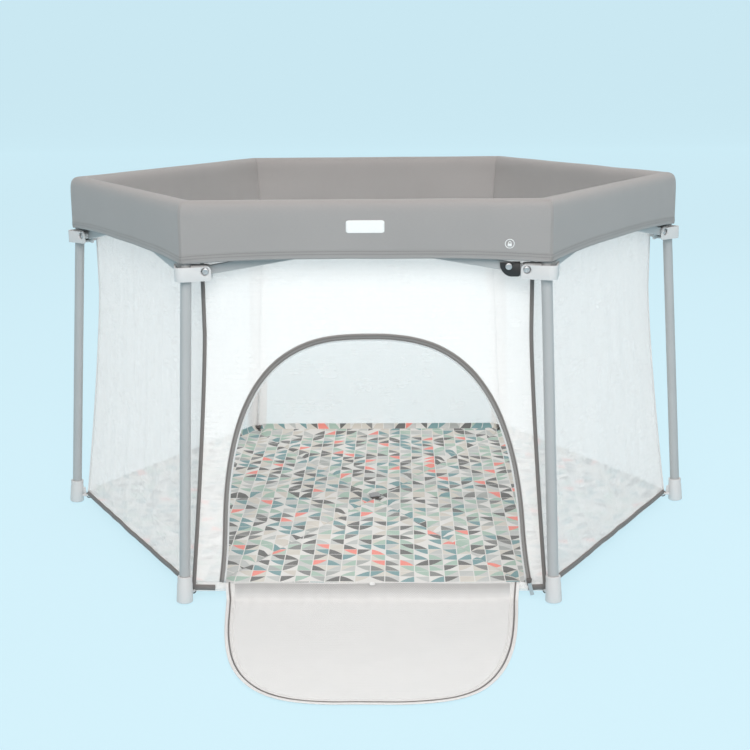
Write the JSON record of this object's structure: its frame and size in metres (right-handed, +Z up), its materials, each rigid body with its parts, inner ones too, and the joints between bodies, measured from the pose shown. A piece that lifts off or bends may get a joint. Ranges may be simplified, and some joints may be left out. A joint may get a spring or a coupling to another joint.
{
  "type": "travel play yard",
  "caption": "Folding hexagonal play yard: scissor frame on splayed legs, fabric rim, mesh walls, padded print floor and a zip door laid open.",
  "frame": {"origin": "centre of the yard on the floor it stands on, at the middle of the floor pad's underside", "axes": "+Z up; -Y towards the door side, with the door flap lying out along -Y; +X to the right seen from the door"},
  "size_m": [1.3232, 1.5583, 0.7],
  "materials": {
    "tube_paint": "satin light grey paint",
    "bracket_plastic": "moulded off-white",
    "link_paint": "satin light grey paint",
    "steel": "plated",
    "latch_plastic": "moulded black",
    "rim_fabric": "mid grey woven",
    "mesh_fabric": "white mesh",
    "floor_fabric": "printed padded fabric",
    "zip_paint": "grey zip slider"
  },
  "bodies": {
    "corner_right": {"top_bracket_right": "bracket_plastic"},
    "corner_rear_right": {"top_bracket_rear_right": "bracket_plastic"},
    "corner_rear_left": {"top_bracket_rear_left": "bracket_plastic"},
    "corner_left": {"top_bracket_left": "bracket_plastic"},
    "corner_front_left": {"top_bracket_front_left": "bracket_plastic", "rim_cover": "rim_fabric", "side_walls": "mesh_fabric", "front_wall": "mesh_fabric", "zip_slider": "zip_paint"},
    "corner_front_right": {"top_bracket_front_right": "bracket_plastic"},
    "leg_right": {"leg_tube_right": "tube_paint", "foot_right": "bracket_plastic"},
    "slide_right": {"lower_bracket_right": "bracket_plastic", "lower_bolts_right": "steel"},
    "leg_rear_right": {"leg_tube_rear_right": "tube_paint", "foot_rear_right": "bracket_plastic"},
    "slide_rear_right": {"lower_bracket_rear_right": "bracket_plastic", "lower_bolts_rear_right": "steel"},
    "leg_rear_left": {"leg_tube_rear_left": "tube_paint", "foot_rear_left": "bracket_plastic"},
    "slide_rear_left": {"lower_bracket_rear_left": "bracket_plastic", "lower_bolts_rear_left": "steel"},
    "leg_left": {"leg_tube_left": "tube_paint", "foot_left": "bracket_plastic"},
    "slide_left": {"lower_bracket_left": "bracket_plastic", "lower_bolts_left": "steel"},
    "leg_front_left": {"leg_tube_front_left": "tube_paint", "foot_front_left": "bracket_plastic"},
    "slide_front_left": {"lower_bracket_front_left": "bracket_plastic", "lower_bolts_front_left": "steel"},
    "leg_front_right": {"leg_tube_front_right": "tube_paint", "foot_front_right": "bracket_plastic"},
    "slide_front_right": {"lower_bracket_front_right": "bracket_plastic", "lower_bolts_front_right": "steel"},
    "outer_link_right_rear": {"outer_link_right_rear": "link_paint"},
    "inner_link_right_rear": {"inner_link_right_rear": "link_paint"},
    "floor_right_rear": {"floor_sector_right_rear": "floor_fabric"},
    "outer_link_rear": {"outer_link_rear": "link_paint"},
    "inner_link_rear": {"inner_link_rear": "link_paint"},
    "floor_rear": {"floor_sector_rear": "floor_fabric"},
    "outer_link_left_rear": {"outer_link_left_rear": "link_paint"},
    "inner_link_left_rear": {"inner_link_left_rear": "link_paint"},
    "floor_left_rear": {"floor_sector_left_rear": "floor_fabric"},
    "outer_link_left_front": {"outer_link_left_front": "link_paint"},
    "inner_link_left_front": {"inner_link_left_front": "link_paint"},
    "floor_left_front": {"floor_sector_left_front": "floor_fabric"},
    "outer_link_front": {"outer_link_front": "link_paint", "latch_screw": "steel"},
    "inner_link_front": {"inner_link_front": "link_paint"},
    "floor_front": {"floor_sector_front": "floor_fabric", "centre_tab": "floor_fabric"},
    "outer_link_right_front": {"outer_link_right_front": "link_paint"},
    "inner_link_right_front": {"inner_link_right_front": "link_paint"},
    "floor_right_front": {"floor_sector_right_front": "floor_fabric"},
    "latch": {"latch_lever": "latch_plastic"},
    "door": {"door_flap": "mesh_fabric"}
  },
  "joints": [
    {"name": "frame_fold", "type": "hinge", "parent": "corner_front_left", "child": "outer_link_front", "pos_m": [-0.27, -0.51962, 0.676], "axis": [0, 1, 0], "range_deg": [0, 75], "deforming": ["rim_cover", "side_walls", "front_wall", "zip_slider", "floor_sector_right_rear", "floor_sector_rear", "floor_sector_left_rear", "floor_sector_left_front", "floor_sector_front", "floor_sector_right_front", "centre_tab", "door_flap"]},
    {"name": "front_cross_rivet", "type": "hinge", "parent": "outer_link_front", "child": "inner_link_front", "pos_m": [0, -0.51962, 0.6295], "axis": [0, 1, 0], "range_deg": [-150, 0]},
    {"name": "front_right_corner_hinge", "type": "hinge", "parent": "inner_link_front", "child": "corner_front_right", "pos_m": [0.27, -0.51962, 0.676], "axis": [0, 1, 0], "range_deg": [0, 75]},
    {"name": "front_right_lower_bracket_hinge", "type": "hinge", "parent": "outer_link_front", "child": "slide_front_right", "pos_m": [0.27, -0.51962, 0.583], "axis": [0, 1, 0], "range_deg": [-75, 0]},
    {"name": "front_left_lower_bracket_hinge", "type": "hinge", "parent": "inner_link_front", "child": "slide_front_left", "pos_m": [-0.27, -0.51962, 0.583], "axis": [0, 1, 0], "range_deg": [0, 75]},
    {"name": "right_front_outer_link_hinge", "type": "hinge", "parent": "corner_front_right", "child": "outer_link_right_front", "pos_m": [0.315, -0.49363, 0.676], "axis": [-0.866, 0.5, 0], "range_deg": [0, 75]},
    {"name": "right_front_cross_rivet", "type": "hinge", "parent": "outer_link_right_front", "child": "inner_link_right_front", "pos_m": [0.45, -0.25981, 0.6295], "axis": [-0.866, 0.5, 0], "range_deg": [-150, 0]},
    {"name": "right_corner_hinge", "type": "hinge", "parent": "inner_link_right_front", "child": "corner_right", "pos_m": [0.585, -0.02598, 0.676], "axis": [-0.866, 0.5, 0], "range_deg": [0, 75]},
    {"name": "right_lower_bracket_hinge", "type": "hinge", "parent": "outer_link_right_front", "child": "slide_right", "pos_m": [0.585, -0.02598, 0.583], "axis": [-0.866, 0.5, 0], "range_deg": [-75, 0]},
    {"name": "right_rear_outer_link_hinge", "type": "hinge", "parent": "corner_right", "child": "outer_link_right_rear", "pos_m": [0.585, 0.02598, 0.676], "axis": [-0.866, -0.5, 0], "range_deg": [0, 75]},
    {"name": "right_rear_cross_rivet", "type": "hinge", "parent": "outer_link_right_rear", "child": "inner_link_right_rear", "pos_m": [0.45, 0.25981, 0.6295], "axis": [-0.866, -0.5, 0], "range_deg": [-150, 0]},
    {"name": "rear_right_corner_hinge", "type": "hinge", "parent": "inner_link_right_rear", "child": "corner_rear_right", "pos_m": [0.315, 0.49363, 0.676], "axis": [-0.866, -0.5, 0], "range_deg": [0, 75]},
    {"name": "rear_right_lower_bracket_hinge", "type": "hinge", "parent": "outer_link_right_rear", "child": "slide_rear_right", "pos_m": [0.315, 0.49363, 0.583], "axis": [-0.866, -0.5, 0], "range_deg": [-75, 0]},
    {"name": "left_front_inner_link_hinge", "type": "hinge", "parent": "corner_front_left", "child": "inner_link_left_front", "pos_m": [-0.315, -0.49363, 0.676], "axis": [0.866, 0.5, 0], "range_deg": [-75, 0]},
    {"name": "left_front_cross_rivet", "type": "hinge", "parent": "inner_link_left_front", "child": "outer_link_left_front", "pos_m": [-0.45, -0.25981, 0.6295], "axis": [0.866, 0.5, 0], "range_deg": [0, 150]},
    {"name": "left_corner_hinge", "type": "hinge", "parent": "outer_link_left_front", "child": "corner_left", "pos_m": [-0.585, -0.02598, 0.676], "axis": [0.866, 0.5, 0], "range_deg": [-75, 0]},
    {"name": "left_lower_bracket_hinge", "type": "hinge", "parent": "inner_link_left_front", "child": "slide_left", "pos_m": [-0.585, -0.02598, 0.583], "axis": [0.866, 0.5, 0], "range_deg": [0, 75]},
    {"name": "left_rear_inner_link_hinge", "type": "hinge", "parent": "corner_left", "child": "inner_link_left_rear", "pos_m": [-0.585, 0.02598, 0.676], "axis": [0.866, -0.5, 0], "range_deg": [-75, 0]},
    {"name": "left_rear_cross_rivet", "type": "hinge", "parent": "inner_link_left_rear", "child": "outer_link_left_rear", "pos_m": [-0.45, 0.25981, 0.6295], "axis": [0.866, -0.5, 0], "range_deg": [0, 150]},
    {"name": "rear_left_corner_hinge", "type": "hinge", "parent": "outer_link_left_rear", "child": "corner_rear_left", "pos_m": [-0.315, 0.49363, 0.676], "axis": [0.866, -0.5, 0], "range_deg": [-75, 0]},
    {"name": "rear_left_lower_bracket_hinge", "type": "hinge", "parent": "inner_link_left_rear", "child": "slide_rear_left", "pos_m": [-0.315, 0.49363, 0.583], "axis": [0.866, -0.5, 0], "range_deg": [0, 75]},
    {"name": "rear_outer_link_hinge", "type": "hinge", "parent": "corner_rear_right", "child": "outer_link_rear", "pos_m": [0.27, 0.51962, 0.676], "axis": [0, -1, 0], "range_deg": [0, 75]},
    {"name": "rear_cross_rivet", "type": "hinge", "parent": "outer_link_rear", "child": "inner_link_rear", "pos_m": [0, 0.51962, 0.6295], "axis": [0, -1, 0], "range_deg": [-150, 0]},
    {"name": "right_leg_hinge", "type": "hinge", "parent": "corner_right", "child": "leg_right", "pos_m": [0.6, 0, 0.676], "axis": [0, 1, 0], "range_deg": [0, 3.5]},
    {"name": "rear_right_leg_hinge", "type": "hinge", "parent": "corner_rear_right", "child": "leg_rear_right", "pos_m": [0.3, 0.51962, 0.676], "axis": [-0.866, 0.5, 0], "range_deg": [0, 3.5]},
    {"name": "rear_left_leg_hinge", "type": "hinge", "parent": "corner_rear_left", "child": "leg_rear_left", "pos_m": [-0.3, 0.51962, 0.676], "axis": [-0.866, -0.5, 0], "range_deg": [0, 3.5]},
    {"name": "left_leg_hinge", "type": "hinge", "parent": "corner_left", "child": "leg_left", "pos_m": [-0.6, 0, 0.676], "axis": [0, -1, 0], "range_deg": [0, 3.5]},
    {"name": "front_left_leg_hinge", "type": "hinge", "parent": "corner_front_left", "child": "leg_front_left", "pos_m": [-0.3, -0.51962, 0.676], "axis": [0.866, -0.5, 0], "range_deg": [0, 3.5]},
    {"name": "front_right_leg_hinge", "type": "hinge", "parent": "corner_front_right", "child": "leg_front_right", "pos_m": [0.3, -0.51962, 0.676], "axis": [0.866, 0.5, 0], "range_deg": [0, 3.5]},
    {"name": "right_rear_floor_crease", "type": "hinge", "parent": "corner_right", "child": "floor_right_rear", "pos_m": [0.4605, 0.26587, 0], "axis": [-0.5, 0.866, 0], "range_deg": [0, 90]},
    {"name": "rear_floor_crease", "type": "hinge", "parent": "corner_rear_right", "child": "floor_rear", "pos_m": [0, 0.53174, 0], "axis": [-1, 0, 0], "range_deg": [0, 90]},
    {"name": "left_rear_floor_crease", "type": "hinge", "parent": "corner_rear_left", "child": "floor_left_rear", "pos_m": [-0.4605, 0.26587, 0], "axis": [-0.5, -0.866, 0], "range_deg": [0, 90]},
    {"name": "left_front_floor_crease", "type": "hinge", "parent": "corner_left", "child": "floor_left_front", "pos_m": [-0.4605, -0.26587, 0], "axis": [0.5, -0.866, 0], "range_deg": [0, 90]},
    {"name": "front_floor_crease", "type": "hinge", "parent": "corner_front_left", "child": "floor_front", "pos_m": [0, -0.53174, 0], "axis": [1, 0, 0], "range_deg": [0, 90]},
    {"name": "right_front_floor_crease", "type": "hinge", "parent": "corner_front_right", "child": "floor_right_front", "pos_m": [0.4605, -0.26587, 0], "axis": [0.5, 0.866, 0], "range_deg": [0, 90]},
    {"name": "door_swing", "type": "hinge", "parent": "corner_front_left", "child": "door", "pos_m": [0, -0.53857, 0.015], "axis": [-1, 0, 0], "range_deg": [0, 96]},
    {"name": "latch_turn", "type": "hinge", "parent": "outer_link_front", "child": "latch", "pos_m": [0.23945, -0.51962, 0.58826], "axis": [0, 1, 0], "range_deg": [0, 20], "stiffness_Nm_per_rad": 0.05}
  ],
  "couplings": [
    {"joint": "front_cross_rivet", "follows": "frame_fold", "ratio": -2},
    {"joint": "front_right_corner_hinge", "follows": "frame_fold", "ratio": 1},
    {"joint": "front_right_lower_bracket_hinge", "follows": "frame_fold", "ratio": -1},
    {"joint": "front_left_lower_bracket_hinge", "follows": "frame_fold", "ratio": 1},
    {"joint": "right_front_outer_link_hinge", "follows": "frame_fold", "ratio": 1},
    {"joint": "right_front_cross_rivet", "follows": "frame_fold", "ratio": -2},
    {"joint": "right_corner_hinge", "follows": "frame_fold", "ratio": 1},
    {"joint": "right_lower_bracket_hinge", "follows": "frame_fold", "ratio": -1},
    {"joint": "right_rear_outer_link_hinge", "follows": "frame_fold", "ratio": 1},
    {"joint": "right_rear_cross_rivet", "follows": "frame_fold", "ratio": -2},
    {"joint": "rear_right_corner_hinge", "follows": "frame_fold", "ratio": 1},
    {"joint": "rear_right_lower_bracket_hinge", "follows": "frame_fold", "ratio": -1},
    {"joint": "left_front_inner_link_hinge", "follows": "frame_fold", "ratio": -1},
    {"joint": "left_front_cross_rivet", "follows": "frame_fold", "ratio": 2},
    {"joint": "left_corner_hinge", "follows": "frame_fold", "ratio": -1},
    {"joint": "left_lower_bracket_hinge", "follows": "frame_fold", "ratio": 1},
    {"joint": "left_rear_inner_link_hinge", "follows": "frame_fold", "ratio": -1},
    {"joint": "left_rear_cross_rivet", "follows": "frame_fold", "ratio": 2},
    {"joint": "rear_left_corner_hinge", "follows": "frame_fold", "ratio": -1},
    {"joint": "rear_left_lower_bracket_hinge", "follows": "frame_fold", "ratio": 1},
    {"joint": "rear_outer_link_hinge", "follows": "frame_fold", "ratio": 1},
    {"joint": "rear_cross_rivet", "follows": "frame_fold", "ratio": -2},
    {"joint": "right_leg_hinge", "follows": "frame_fold", "ratio": 0.046667},
    {"joint": "rear_right_leg_hinge", "follows": "frame_fold", "ratio": 0.046667},
    {"joint": "rear_left_leg_hinge", "follows": "frame_fold", "ratio": 0.046667},
    {"joint": "left_leg_hinge", "follows": "frame_fold", "ratio": 0.046667},
    {"joint": "front_left_leg_hinge", "follows": "frame_fold", "ratio": 0.046667},
    {"joint": "front_right_leg_hinge", "follows": "frame_fold", "ratio": 0.046667},
    {"joint": "right_rear_floor_crease", "follows": "frame_fold", "ratio": 1.2},
    {"joint": "rear_floor_crease", "follows": "frame_fold", "ratio": 1.2},
    {"joint": "left_rear_floor_crease", "follows": "frame_fold", "ratio": 1.2},
    {"joint": "left_front_floor_crease", "follows": "frame_fold", "ratio": 1.2},
    {"joint": "front_floor_crease", "follows": "frame_fold", "ratio": 1.2},
    {"joint": "right_front_floor_crease", "follows": "frame_fold", "ratio": 1.2}
  ]
}
